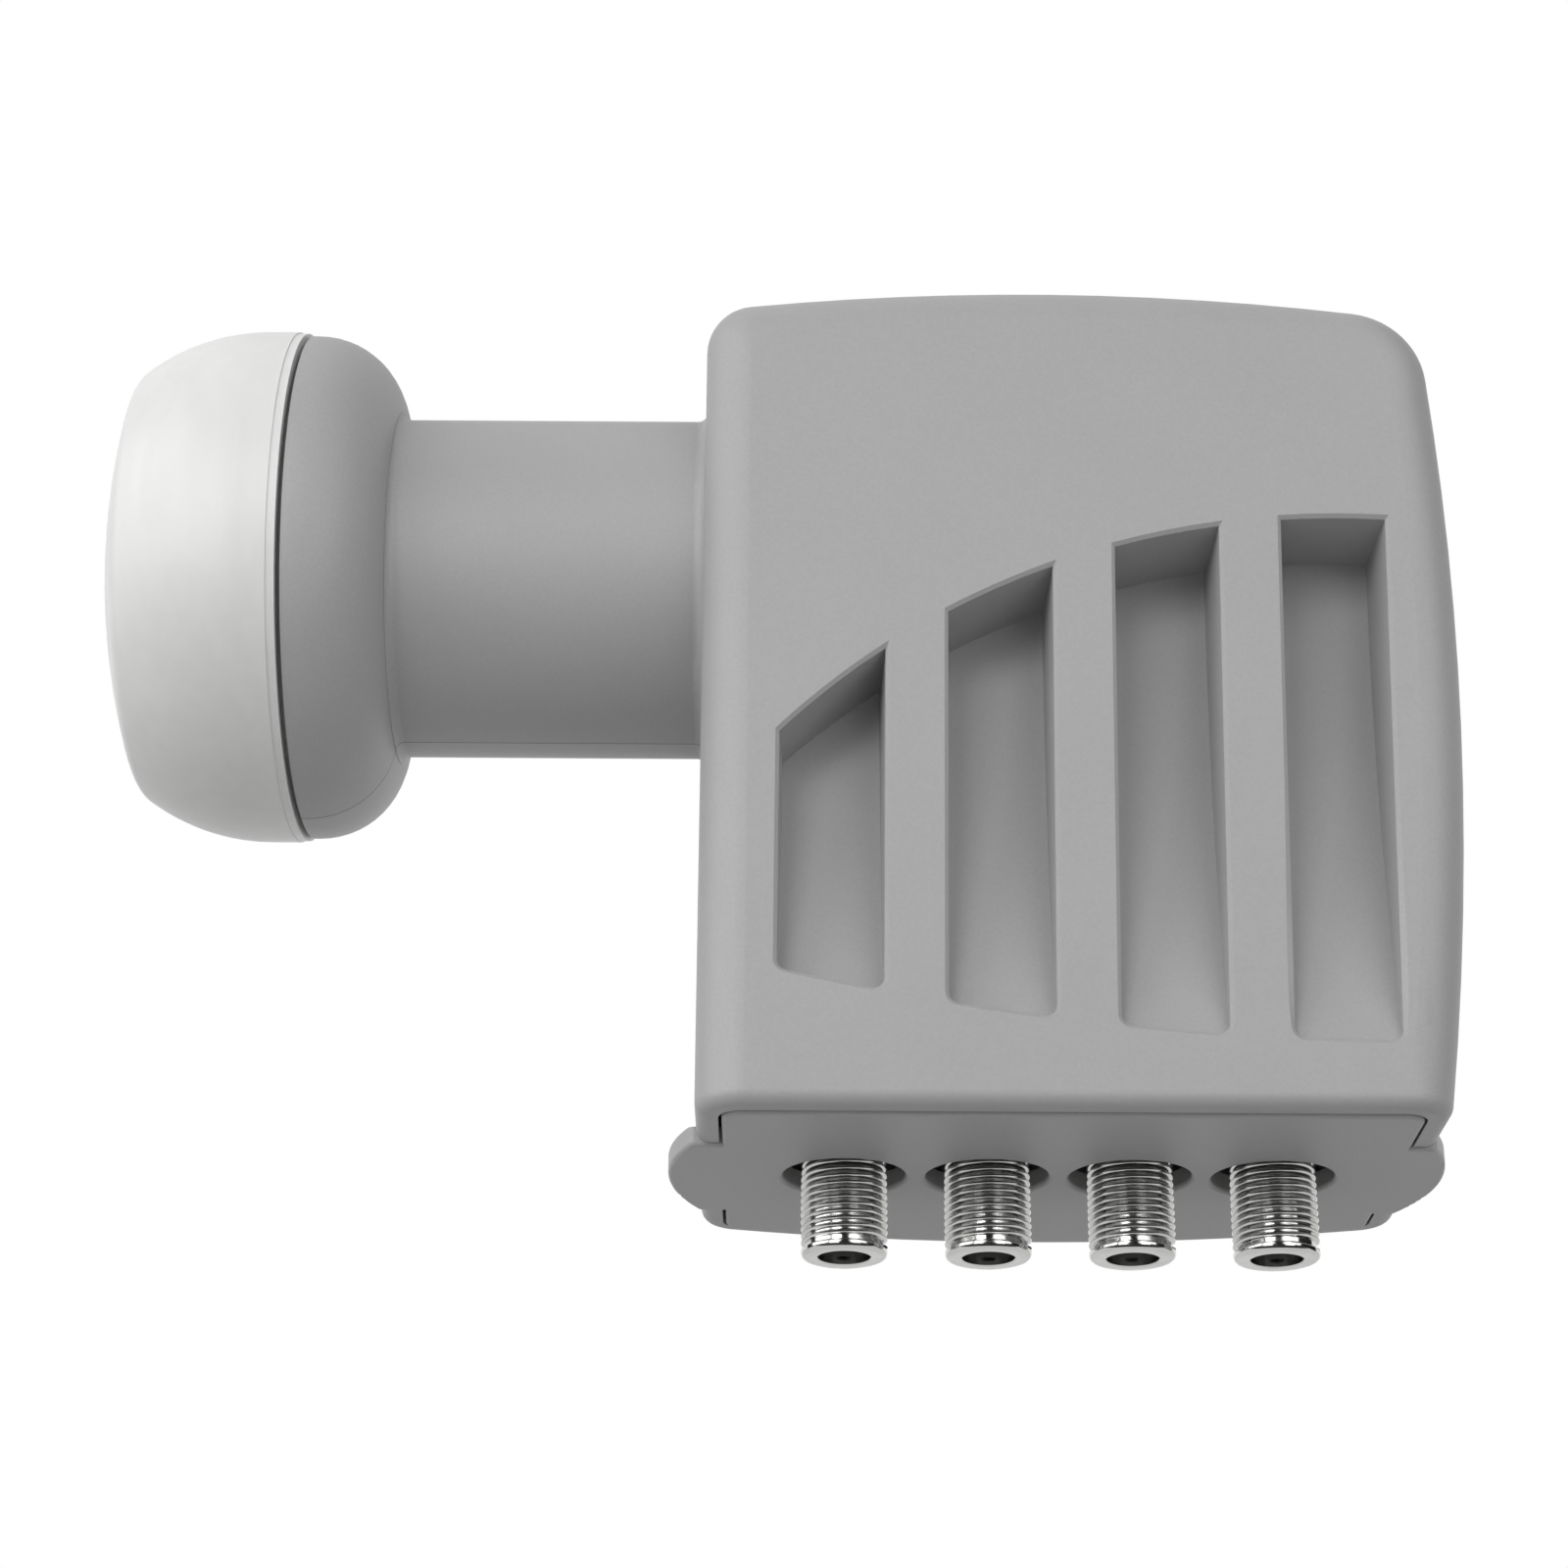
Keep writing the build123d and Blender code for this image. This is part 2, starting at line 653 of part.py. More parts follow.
with BuildPart() as weather_cover:
    extrude(foot_plan.sketch.moved(Location((0, 0, foot_bottom_z))), amount=foot_thickness)
    fillet(weather_cover.faces().sort_by(Axis.Z)[0].edges(), radius=foot_edge_round)
    with BuildSketch(Plane.XY.offset(foot_top_z)):
        with Locations(hood_centre):
            RectangleRounded(*hood_size, hood_corner_round)
            RectangleRounded(
                hood_size[0] - 2 * hood_wall,
                hood_size[1] - 2 * hood_wall,
                hood_corner_round - hood_wall,
                mode=Mode.SUBTRACT,
            )
    extrude(amount=hood_top_z - foot_top_z)
    with BuildSketch(Plane.XZ):
        with BuildLine():
            Polyline(
                (hood_left + hood_wall, hood_top_z - latch_height),
                (hood_left - latch_reach, hood_top_z - latch_height),
                (hood_left - latch_reach, hood_top_z - latch_slope),
                (hood_left, hood_top_z),
                (hood_left + hood_wall, hood_top_z),
                close=True,
            )
        make_face()
        with BuildLine():
            Polyline(
                (hood_right - hood_wall, hood_top_z - latch_height),
                (hood_right + latch_reach, hood_top_z - latch_height),
                (hood_right + latch_reach, hood_top_z - latch_slope),
                (hood_right, hood_top_z),
                (hood_right - hood_wall, hood_top_z),
                close=True,
            )
        make_face()
    extrude(amount=latch_width / 2, both=True)
weather_cover.part.label = "weather_cover"
export_step(weather_cover.part, "parts/weather_cover.step")

# Horn cap and its seal
cap_outside = cap_form(0)
cap_hollow = cap_form(cap_wall)
with BuildPart() as feed_cap:
    add(cap_outside)
    add(cap_hollow, mode=Mode.SUBTRACT)
    with BuildSketch(Plane.YZ.offset(cap_back_x)):
        Circle(cap_radius)
        Circle(cap_radius - cap_rim_step, mode=Mode.SUBTRACT)
    extrude(amount=-cap_rim_band, mode=Mode.SUBTRACT)
feed_cap.part.label = "feed_cap"
export_step(feed_cap.part, "parts/feed_cap.step")

with BuildPart() as cap_seal:
    with BuildSketch(Plane.XY):
        with Locations((seal_x, seal_radius)):
            Circle(seal_section / 2)
    revolve(axis=Axis.X)
cap_seal.part.label = "cap_seal"
export_step(cap_seal.part, "parts/cap_seal.step")

# Half profile of horn and waveguide, from the tray to the mouth and back down the stepped rings
horn_points = [(tray_left, waveguide_radius), (tray_left, tube_radius)]
for ring_x in (neck_ring_x, -neck_ring_x):
    horn_points += [
        (ring_x + neck_ring_thickness / 2, tube_radius),
        (ring_x + neck_ring_thickness / 2, neck_ring_radius),
        (ring_x - neck_ring_thickness / 2, neck_ring_radius),
        (ring_x - neck_ring_thickness / 2, tube_radius),
    ]
horn_points += [
    (horn_root_x, tube_radius),
    (horn_back_x, horn_back_radius),
    (horn_back_x, horn_seat_radius),
    (seal_x + seal_groove_width / 2, horn_seat_radius),
    (seal_x + seal_groove_width / 2, seal_groove_radius),
    (seal_x - seal_groove_width / 2, seal_groove_radius),
    (seal_x - seal_groove_width / 2, horn_seat_radius),
    (horn_seat_front_x, horn_seat_radius),
    (horn_mouth_x, horn_mouth_radius),
    (horn_mouth_x, horn_mouth_radius - horn_mouth_wall),
]
for ring in reversed(range(ring_count)):
    ring_radius = waveguide_radius + ring_pitch * ring
    ring_front_x = horn_mouth_x + ring_step * (ring_count - ring)
    horn_points += [
        (ring_front_x + ring_depth, ring_radius + ring_pitch),
        (ring_front_x + ring_depth, ring_radius + ring_wall),
        (ring_front_x, ring_radius + ring_wall),
        (ring_front_x, ring_radius),
    ]

with BuildPart() as chassis:
    with BuildSketch(Plane.XY):
        with BuildLine():
            Polyline(*horn_points, close=True)
        make_face()
    revolve(axis=Axis.X)
    with BuildSketch(Plane.XZ.offset(-tray_rear_y)):
        with Locations(tray_centre):
            RectangleRounded(*tray_size, tray_corner_round)
            Rectangle(*inner_size, mode=Mode.SUBTRACT)
    extrude(amount=tray_rear_y - tray_front_y)
    with BuildSketch(Plane.XZ.offset(-tray_front_y)):
        with Locations(tray_centre):
            Rectangle(*inner_size)
    extrude(amount=-tray_floor)
    # Closed end of the waveguide, the partition below it and the pedestal that carries the probes
    with BuildSketch(Plane.YZ.offset(tray_left)):
        Circle(tray_rear_y)
    extrude(amount=guide_end_x + guide_end_wall - tray_left)
    with BuildSketch(Plane.XZ.offset(-tray_rear_y)):
        with Locations((tray_centre[0], partition_z)):
            Rectangle(inner_size[0], partition_wall)
        with Locations(*post_points):
            Circle(post_radius)
    extrude(amount=tray_rear_y - inner_front_y)
    with BuildSketch(Plane.XZ.offset(-pedestal_depth / 2)):
        with Locations((pedestal_left, partition_z)):
            Rectangle(pedestal_right - pedestal_left, -partition_z, align=(Align.MIN, Align.MIN))
    extrude(amount=pedestal_depth)
    with BuildSketch(Plane.XZ.offset(-board_face_y)):
        with Locations(bay_centre):
            Rectangle(*bay_size)
            Rectangle(bay_size[0] - 2 * board_rib_wall, bay_size[1] - 2 * board_rib_wall, mode=Mode.SUBTRACT)
    extrude(amount=board_face_y - inner_front_y)
    # Waveguide bore and the holes for probes, outputs and lid screws
    with BuildSketch(Plane.YZ.offset(horn_mouth_x)):
        Circle(waveguide_radius)
    extrude(amount=guide_end_x - horn_mouth_x, mode=Mode.SUBTRACT)
    with BuildSketch(Plane.XY.offset(partition_bottom_z - board_rib_wall)):
        with Locations(*probe_points):
            Circle(bush_radius + bush_clearance)
    extrude(amount=board_rib_wall - partition_bottom_z - bush_radius, mode=Mode.SUBTRACT)
    with BuildSketch(Plane.XY.offset(tray_bottom_z)):
        with Locations(*output_points):
            Circle(connector_spigot_radius + connector_seat_clearance)
    extrude(amount=tray_wall + board_rib_wall, mode=Mode.SUBTRACT)
    with BuildSketch(Plane.XZ.offset(-tray_rear_y)):
        with Locations(*post_points):
            Circle(lid_screw_radius + thread_clearance)
    extrude(amount=lid_screw_length - lid_thickness, mode=Mode.SUBTRACT)
chassis.part.label = "chassis"
export_step(chassis.part, "parts/chassis.step")

with BuildPart() as chassis_gasket:
    with BuildSketch(Plane.XZ.offset(-lid_front_y)):
        with Locations(tray_centre):
            RectangleRounded(*lid_size, tray_corner_round)
            Rectangle(lid_size[0] - 2 * gasket_width, lid_size[1] - 2 * gasket_width, mode=Mode.SUBTRACT)
    extrude(amount=gasket_thickness)
chassis_gasket.part.label = "chassis_gasket"
export_step(chassis_gasket.part, "parts/chassis_gasket.step")

with BuildPart() as chassis_lid:
    with BuildSketch(Plane.XZ.offset(-lid_rear_y)):
        with Locations(tray_centre):
            RectangleRounded(*lid_size, tray_corner_round)
        with Locations(*tuning_points):
            Circle(tuning_screw_radius + thread_clearance, mode=Mode.SUBTRACT)
        with Locations(*post_points):
            Circle(lid_screw_radius + screw_clearance, mode=Mode.SUBTRACT)
    extrude(amount=lid_thickness)
    with BuildSketch(Plane.XZ.offset(-lid_rear_y)):
        with Locations(*post_points):
            Circle(lid_screw_head_radius + thread_clearance)
    extrude(amount=lid_screw_head_radius - lid_screw_radius, taper=45, mode=Mode.SUBTRACT)
chassis_lid.part.label = "chassis_lid"
export_step(chassis_lid.part, "parts/chassis_lid.step")

with BuildPart() as lid_screws:
    with BuildSketch(Plane.XZ.offset(-lid_rear_y)):
        with Locations(*post_points):
            Circle(lid_screw_radius)
    extrude(amount=lid_screw_length)
    with BuildSketch(Plane.XZ.offset(-lid_rear_y)):
        with Locations(*post_points):
            Circle(lid_screw_head_radius)
    extrude(amount=lid_screw_head_radius - lid_screw_radius, taper=45)
    with BuildSketch(Plane.XZ.offset(-lid_rear_y)):
        with Locations(*post_points):
            Rectangle(2 * lid_screw_radius, lid_screw_slot)
            Rectangle(lid_screw_slot, 2 * lid_screw_radius)
    extrude(amount=lid_screw_slot, mode=Mode.SUBTRACT)
lid_screws.part.label = "lid_screws"
export_step(lid_screws.part, "parts/lid_screws.step")

with BuildPart() as tuning_screws:
    with BuildSketch(Plane.XZ.offset(-lid_rear_y)):
        with Locations(*tuning_points):
            Circle(tuning_screw_radius)
    extrude(amount=lid_rear_y - tuning_end_y)
    with BuildSketch(Plane.XZ.offset(-lid_rear_y)):
        with Locations(*tuning_points):
            Rectangle(2 * tuning_screw_radius, lid_screw_slot)
    extrude(amount=lid_screw_slot, mode=Mode.SUBTRACT)
tuning_screws.part.label = "tuning_screws"
export_step(tuning_screws.part, "parts/tuning_screws.step")

# Circuit board and what stands on it
with BuildPart() as circuit_board:
    with BuildSketch(Plane.XZ.offset(-board_back_y)):
        with Locations(bay_centre):
            Rectangle(bay_size[0] - 2 * board_clearance, bay_size[1] - 2 * board_clearance)
        with Locations(*post_points):
            Circle(post_radius + board_clearance, mode=Mode.SUBTRACT)
    extrude(amount=board_thickness)
circuit_board.part.label = "circuit_board"
export_step(circuit_board.part, "parts/circuit_board.step")

with BuildPart() as amplifier_shield:
    with BuildSketch(Plane.XZ.offset(-board_back_y)):
        with Locations((shield_x, shield_z)):
            Rectangle(shield_width, shield_length)
    extrude(amount=-shield_height)
    with BuildSketch(Plane.XZ.offset(-board_back_y)):
        with Locations((shield_x, shield_z)):
            Rectangle(shield_width - 2 * shield_wall, shield_length - 2 * shield_wall)
    extrude(amount=shield_wall - shield_height, mode=Mode.SUBTRACT)
amplifier_shield.part.label = "amplifier_shield"
export_step(amplifier_shield.part, "parts/amplifier_shield.step")

for number, z in enumerate(chip_z, start=1):
    with BuildPart() as circuit_chip:
        with BuildSketch(Plane.XZ.offset(-board_back_y)):
            with Locations((chip_x, z)):
                Rectangle(chip_width, chip_width)
        extrude(amount=-chip_height)
    circuit_chip.part.label = f"circuit_chip_{number}"
    export_step(circuit_chip.part, f"parts/circuit_chip_{number}.step")

for number, z in enumerate(puck_z, start=1):
    with BuildPart() as oscillator_puck:
        with BuildSketch(Plane.XZ.offset(-board_back_y)):
            with Locations((puck_x, z)):
                Circle(puck_radius)
        extrude(amount=-puck_height)
    oscillator_puck.part.label = f"oscillator_puck_{number}"
    export_step(oscillator_puck.part, f"parts/oscillator_puck_{number}.step")

# Probes and the bushes that hold them in the pedestal
with BuildPart() as probe_vertical:
    with BuildSketch(Plane.XY.offset(probe_tail_z)):
        with Locations((probe_vertical_x, 0)):
            Circle(probe_radius)
    extrude(amount=probe_tip_depth - waveguide_radius - probe_tail_z)
probe_vertical.part.label = "probe_vertical"
export_step(probe_vertical.part, "parts/probe_vertical.step")

with BuildPart() as probe_horizontal:
    with BuildLine():
        FilletPolyline(
            (probe_horizontal_x, 0, probe_tail_z),
            (probe_horizontal_x, 0, 0),
            (probe_horizontal_x, -probe_arm, 0),
            radius=probe_bend_radius,
        )
    with BuildSketch(Plane.XY.offset(probe_tail_z)):
        with Locations((probe_horizontal_x, 0)):
            Circle(probe_radius)
    sweep()
probe_horizontal.part.label = "probe_horizontal"
export_step(probe_horizontal.part, "parts/probe_horizontal.step")

for number, point in enumerate(probe_points, start=1):
    with BuildPart() as probe_bush:
        with BuildSketch(Plane.XY.offset(partition_bottom_z)):
            with Locations(point):
                Circle(bush_radius)
                Circle(probe_radius + bush_clearance, mode=Mode.SUBTRACT)
        extrude(amount=-waveguide_radius - partition_bottom_z)
    probe_bush.part.label = f"probe_bush_{number}"
    export_step(probe_bush.part, f"parts/probe_bush_{number}.step")

# F connectors with their insulators and centre contacts
for number, (x, y) in enumerate(output_points, start=1):
    with BuildPart() as f_connector:
        with BuildSketch(Plane.XZ):
            with BuildLine():
                Polyline(
                    (x + connector_bore_radius, bay_bottom_z),
                    (x + connector_spigot_radius, bay_bottom_z),
                    (x + connector_spigot_radius, tray_bottom_z),
                    (x + connector_flange_radius, tray_bottom_z),
                    (x + connector_flange_radius, flange_bottom_z),
                    (x + thread_radius, flange_bottom_z),
                    (x + thread_radius, connector_tip_z + connector_chamfer),
                    (x + thread_radius - connector_chamfer, connector_tip_z),
                    (x + connector_mouth_radius, connector_tip_z),
                    (x + connector_mouth_radius, insulator_front_z),
                    (x + connector_bore_radius, insulator_front_z),
                    close=True,
                )
            make_face()
        revolve(axis=Axis((x, y, 0), (0, 0, 1)))
    f_connector.part.label = f"f_connector_{number}"
    export_step(f_connector.part, f"parts/f_connector_{number}.step")

    with BuildPart() as connector_insulator:
        with BuildSketch(Plane.XY.offset(insulator_front_z)):
            with Locations((x, y)):
                Circle(connector_bore_radius - insulator_clearance)
                Circle(contact_radius + insulator_clearance, mode=Mode.SUBTRACT)
        extrude(amount=bay_bottom_z - insulator_front_z)
    connector_insulator.part.label = f"connector_insulator_{number}"
    export_step(connector_insulator.part, f"parts/connector_insulator_{number}.step")

    with BuildPart() as centre_contact:
        with BuildSketch(Plane.XY.offset(contact_front_z)):
            with Locations((x, y)):
                Circle(contact_radius)
        extrude(amount=bay_bottom_z - contact_front_z)
        with BuildSketch(Plane.XY.offset(bay_bottom_z)):
            with Locations((x, y)):
                Circle(contact_tail_radius)
        extrude(amount=contact_tail_length)
        with BuildSketch(Plane.XY.offset(contact_front_z)):
            with Locations((x, y)):
                Circle(contact_bore_radius)
        extrude(amount=contact_bore_depth, mode=Mode.SUBTRACT)
    centre_contact.part.label = f"centre_contact_{number}"
    export_step(centre_contact.part, f"parts/centre_contact_{number}.step")
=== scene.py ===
"""Looks of the four-output satellite LNB: threads, finishes, floor, light and camera.

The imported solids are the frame. Every length is in metres in the frame's own axes: X runs from
the horn cap to the box, Z is up and the outputs point down.
"""

import math

import bmesh
import bpy
from bpy.props import FloatProperty, FloatVectorProperty, IntProperty, PointerProperty
from mathutils import Matrix, Vector


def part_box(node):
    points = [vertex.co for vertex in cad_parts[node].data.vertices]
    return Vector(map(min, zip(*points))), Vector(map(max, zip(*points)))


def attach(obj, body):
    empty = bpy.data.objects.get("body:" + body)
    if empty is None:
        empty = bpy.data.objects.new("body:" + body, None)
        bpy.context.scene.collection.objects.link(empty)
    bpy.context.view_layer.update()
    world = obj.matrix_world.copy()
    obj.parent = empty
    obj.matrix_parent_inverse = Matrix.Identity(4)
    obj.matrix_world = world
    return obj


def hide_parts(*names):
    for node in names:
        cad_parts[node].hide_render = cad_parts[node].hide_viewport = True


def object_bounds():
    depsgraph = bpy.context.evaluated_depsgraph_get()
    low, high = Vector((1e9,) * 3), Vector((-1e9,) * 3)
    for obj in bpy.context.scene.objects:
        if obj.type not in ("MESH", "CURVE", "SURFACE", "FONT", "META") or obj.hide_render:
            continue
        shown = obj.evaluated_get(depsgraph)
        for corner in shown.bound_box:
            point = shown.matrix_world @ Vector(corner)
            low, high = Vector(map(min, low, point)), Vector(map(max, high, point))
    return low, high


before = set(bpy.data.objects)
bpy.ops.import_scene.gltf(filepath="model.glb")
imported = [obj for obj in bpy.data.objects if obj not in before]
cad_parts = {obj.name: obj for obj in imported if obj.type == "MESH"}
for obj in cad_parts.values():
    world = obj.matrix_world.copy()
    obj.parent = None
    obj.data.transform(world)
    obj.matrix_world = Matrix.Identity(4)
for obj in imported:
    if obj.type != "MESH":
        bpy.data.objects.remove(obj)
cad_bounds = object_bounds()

bl_info = {
    "name": "Satellite LNB looks",
    "version": (1, 0, 0),
    "blender": (4, 5, 0),
    "location": "View3D > Sidebar > LNB",
    "description": "Cuts the output threads and dresses the packed solids of a satellite LNB",
    "category": "Object",
}

MM = 0.001
OUTPUTS = (1, 2, 3, 4)
SHARP_ANGLE = math.radians(40)

# Where the photograph was taken from, in metres and degrees: below the object, looking up at it
CAMERA_PLACE = (0.02665, -0.35368, -0.18040)
CAMERA_YAW, CAMERA_PITCH, CAMERA_ROLL = 0.011, 23.719, -0.351
SENSOR_WIDTH_MM = 36.0

FLOOR_SIZE = 4.0
FLAT = 0.0
UPRIGHT = math.pi / 2
AHEAD = 0.0
SIDEWAYS = math.pi / 2

# Name, the setting of its power, size, place from the object's middle, and whether gloss mirrors it
LIGHTS = (
    ("key_light", "key_power", 0.7, (-0.68, -0.28, 0.24), True),
    ("front_light", "front_power", 0.35, (-0.28, -0.70, 0.27), True),
    ("fill_light", "fill_power", 0.7, (0.45, -0.60, 0.27), True),
    ("low_light", "low_power", 0.4, (0.06, -0.14, -0.21), False),
    ("rear_right_light", "rear_power", 0.5, (0.62, 0.50, 0.04), False),
    ("rear_left_light", "rear_power", 0.5, (-0.10, 0.80, 0.04), False),
)

# Name, place, width, height, tilt and turn of the cards that gloss mirrors
DARK_CARDS = (
    ("front_card", (0.1, -1.0, 0.6), 2.6, 3.6, UPRIGHT, AHEAD),
    ("right_card", (1.1, -0.2, 0.6), 1.4, 3.6, UPRIGHT, SIDEWAYS),
    ("left_card", (-1.1, -0.2, 0.6), 1.4, 3.6, UPRIGHT, SIDEWAYS),
)
LIT_CARDS = (
    ("left_strip", (-0.42, -0.80, -0.05), 0.45, 0.42, UPRIGHT, AHEAD),
    ("right_strip", (0.52, -0.80, -0.05), 0.40, 0.42, UPRIGHT, AHEAD),
)


def linear(hex_colour):
    """Linear red, green, blue and alpha of an sRGB hex colour."""
    values = []
    for start in (1, 3, 5):
        level = int(hex_colour[start:start + 2], 16) / 255
        values.append(level / 12.92 if level <= 0.04045 else ((level + 0.055) / 1.055) ** 2.4)
    return (*values, 1.0)


def per_metre(size_mm):
    """Texture scale that gives one pattern cell this many millimetres."""
    return 1 / (size_mm * MM)


def add_node(tree, kind, inputs=None, **settings):
    """Adds a node, sets its properties, and sets or links its inputs."""
    node = tree.nodes.new(kind)
    for name, value in settings.items():
        setattr(node, name, value)
    for name, value in (inputs or {}).items():
        socket = node.inputs[name]
        if isinstance(value, bpy.types.NodeSocket):
            tree.links.new(value, socket)
        else:
            socket.default_value = value
    return node


def start_material(name, roughness, metallic=0.0):
    """New material with a Principled surface, and its object coordinates."""
    material = bpy.data.materials.new(name)
    material.use_nodes = True
    tree = material.node_tree
    tree.nodes.clear()
    surface = add_node(tree, "ShaderNodeBsdfPrincipled", {"Roughness": roughness, "Metallic": metallic})
    add_node(tree, "ShaderNodeOutputMaterial", {"Surface": surface.outputs["BSDF"]})
    place = add_node(tree, "ShaderNodeTexCoord").outputs["Object"]
    return material, tree, surface, place


def noise_level(tree, place, size_mm, detail):
    """Random level from 0 to 1, mostly near the middle, that changes over the given size."""
    noise = add_node(
        tree,
        "ShaderNodeTexNoise",
        {"Vector": place, "Scale": per_metre(size_mm), "Detail": detail},
    )
    return noise.outputs["Fac"]


def stretched(tree, value, reads, gives):
    """Value taken from one range to another, and held at its ends."""
    level = add_node(
        tree,
        "ShaderNodeMapRange",
        {
            "Value": value,
            "From Min": reads[0],
            "From Max": reads[1],
            "To Min": gives[0],
            "To Max": gives[1],
        },
    )
    return level.outputs["Result"]


def shaded(tree, colour, level):
    """Colour made lighter or darker by a level."""
    shade = add_node(tree, "ShaderNodeVectorMath", {0: colour, "Scale": level}, operation="SCALE")
    return shade.outputs["Vector"]


def mottle(tree, place, colour, size_mm, swing):
    """Colour that drifts lighter and darker by the swing over patches of the given size."""
    patches = noise_level(tree, place, size_mm, 3.0)
    return shaded(tree, colour[:3], stretched(tree, patches, (0.3, 0.7), (1 - swing, 1 + swing)))


def grain(tree, place, size_mm, depth_mm, strength):
    """Bump of a fine random grain."""
    height = noise_level(tree, place, size_mm, 2.0)
    bump = add_node(
        tree,
        "ShaderNodeBump",
        {"Height": height, "Strength": strength, "Distance": depth_mm * MM},
    )
    return bump.outputs["Normal"]


def dress(node_name, material):
    """Gives a CAD node one material."""
    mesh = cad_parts[node_name].data
    mesh.materials.clear()
    mesh.materials.append(material)


def spark_eroded_abs(name, colour, seam_half_width):
    """ABS moulded in a spark-eroded tool: matt, with a fine grain that scatters highlights, and painted
    pinprick glints in its colour.

    The joint of the two shells is a shadow line on the plane Y = 0 where it has a width.
    """
    material, tree, surface, place = start_material(name, roughness=0.52)
    shade = mottle(tree, place, colour, size_mm=14.0, swing=0.012)
    # Painted glints: pinpricks of the spark-eroded grain drawn lighter and darker in the colour at 0.4
    # mm so that they show
    painted_glints = noise_level(tree, place, 0.4, 2.0)
    shade = shaded(tree, shade, stretched(tree, painted_glints, (0.35, 0.65), (0.975, 1.025)))
    if seam_half_width > 0:
        depth = add_node(tree, "ShaderNodeSeparateXYZ", {"Vector": place}).outputs["Y"]
        distance = add_node(tree, "ShaderNodeMath", {0: depth}, operation="ABSOLUTE").outputs["Value"]
        across = (seam_half_width * 0.5, seam_half_width)
        shade = shaded(tree, shade, stretched(tree, distance, across, (0.35, 1.0)))
    tree.links.new(shade, surface.inputs["Base Color"])
    bumps = grain(tree, place, size_mm=0.4, depth_mm=0.012, strength=0.25)
    tree.links.new(bumps, surface.inputs["Normal"])
    surface.inputs["Specular IOR Level"].default_value = 0.5
    return material


def moulded_polypropylene(name, colour):
    """Polypropylene moulding: near white, satin, with faint upright flow marks and a few specks."""
    material, tree, surface, place = start_material(name, roughness=0.42)
    # The marks are drawn out along Z, the way that the melt ran
    squeeze = add_node(tree, "ShaderNodeMapping", {"Vector": place, "Scale": (1.0, 1.0, 0.12)})
    flow = noise_level(tree, squeeze.outputs["Vector"], 2.2, 3.0)
    shade = shaded(tree, colour[:3], stretched(tree, flow, (0.35, 0.65), (0.97, 1.0)))
    specks = add_node(tree, "ShaderNodeTexVoronoi", {"Vector": place, "Scale": per_metre(7.0)})
    dots = stretched(tree, specks.outputs["Distance"], (0.02, 0.04), (0.8, 1.0))
    tree.links.new(shaded(tree, shade, dots), surface.inputs["Base Color"])
    bumps = grain(tree, place, size_mm=0.8, depth_mm=0.02, strength=0.2)
    tree.links.new(bumps, surface.inputs["Normal"])
    surface.inputs["Subsurface Weight"].default_value = 0.05
    surface.inputs["Subsurface Radius"].default_value = (2 * MM, 2 * MM, 2 * MM)
    return material


def nickel_plated_brass(name, colour):
    """Turned brass under bright nickel: sharp reflections, duller in patches, over a fine grain."""
    material, tree, surface, place = start_material(name, roughness=0.2, metallic=1.0)
    shade = mottle(tree, place, colour, size_mm=2.5, swing=0.05)
    tree.links.new(shade, surface.inputs["Base Color"])
    dull = noise_level(tree, place, 1.2, 3.0)
    tree.links.new(stretched(tree, dull, (0.3, 0.7), (0.08, 0.2)), surface.inputs["Roughness"])
    bumps = grain(tree, place, size_mm=0.3, depth_mm=0.006, strength=0.12)
    tree.links.new(bumps, surface.inputs["Normal"])
    return material


def plain_metal(name, colour, roughness, patch_mm, grain_mm, strength):
    """Metal with its own patchiness and grain, for castings, screws, sheet and contacts."""
    material, tree, surface, place = start_material(name, roughness, metallic=1.0)
    tree.links.new(mottle(tree, place, colour, patch_mm, 0.06), surface.inputs["Base Color"])
    tree.links.new(grain(tree, place, grain_mm, 0.03, strength), surface.inputs["Normal"])
    return material


def plain_solid(name, colour, roughness, patch_mm, grain_mm, strength):
    """Non-metal with its own patchiness and grain, for rubber, resin, laminate and ceramic."""
    material, tree, surface, place = start_material(name, roughness)
    tree.links.new(mottle(tree, place, colour, patch_mm, 0.05), surface.inputs["Base Color"])
    tree.links.new(grain(tree, place, grain_mm, 0.02, strength), surface.inputs["Normal"])
    return material


def solder_resist_laminate(name, colour, track_colour):
    """Glass-epoxy laminate under green solder resist, with copper tracks as paler lines."""
    material, tree, surface, place = start_material(name, roughness=0.35)
    # The pattern lies in X and Y, and the board's faces in X and Z
    across = add_node(tree, "ShaderNodeMapping", {"Vector": place, "Rotation": (math.pi / 2, 0, 0)})
    tracks = add_node(
        tree,
        "ShaderNodeTexBrick",
        {
            "Vector": across.outputs["Vector"],
            "Color1": colour,
            "Color2": colour,
            "Mortar": track_colour,
            "Scale": per_metre(1.0),
            "Mortar Size": 0.25,
            "Brick Width": 5.0,
            "Row Height": 2.6,
        },
    )
    tree.links.new(tracks.outputs["Color"], surface.inputs["Base Color"])
    bumps = grain(tree, place, size_mm=0.6, depth_mm=0.02, strength=0.2)
    tree.links.new(bumps, surface.inputs["Normal"])
    return material


def length_setting(name, description, millimetres):
    """Length in a property group, given in millimetres and kept in metres."""
    return FloatProperty(name=name, description=description, default=millimetres * MM, unit="LENGTH")


def colour_setting(name, description, hex_colour):
    """Colour in a property group."""
    colour = linear(hex_colour)
    return FloatVectorProperty(
        name=name, description=description, default=colour, size=4, subtype="COLOR"
    )


def power_setting(name, description, watts):
    """Power of a light in a property group."""
    return FloatProperty(name=name, description=description, default=watts, unit="POWER")


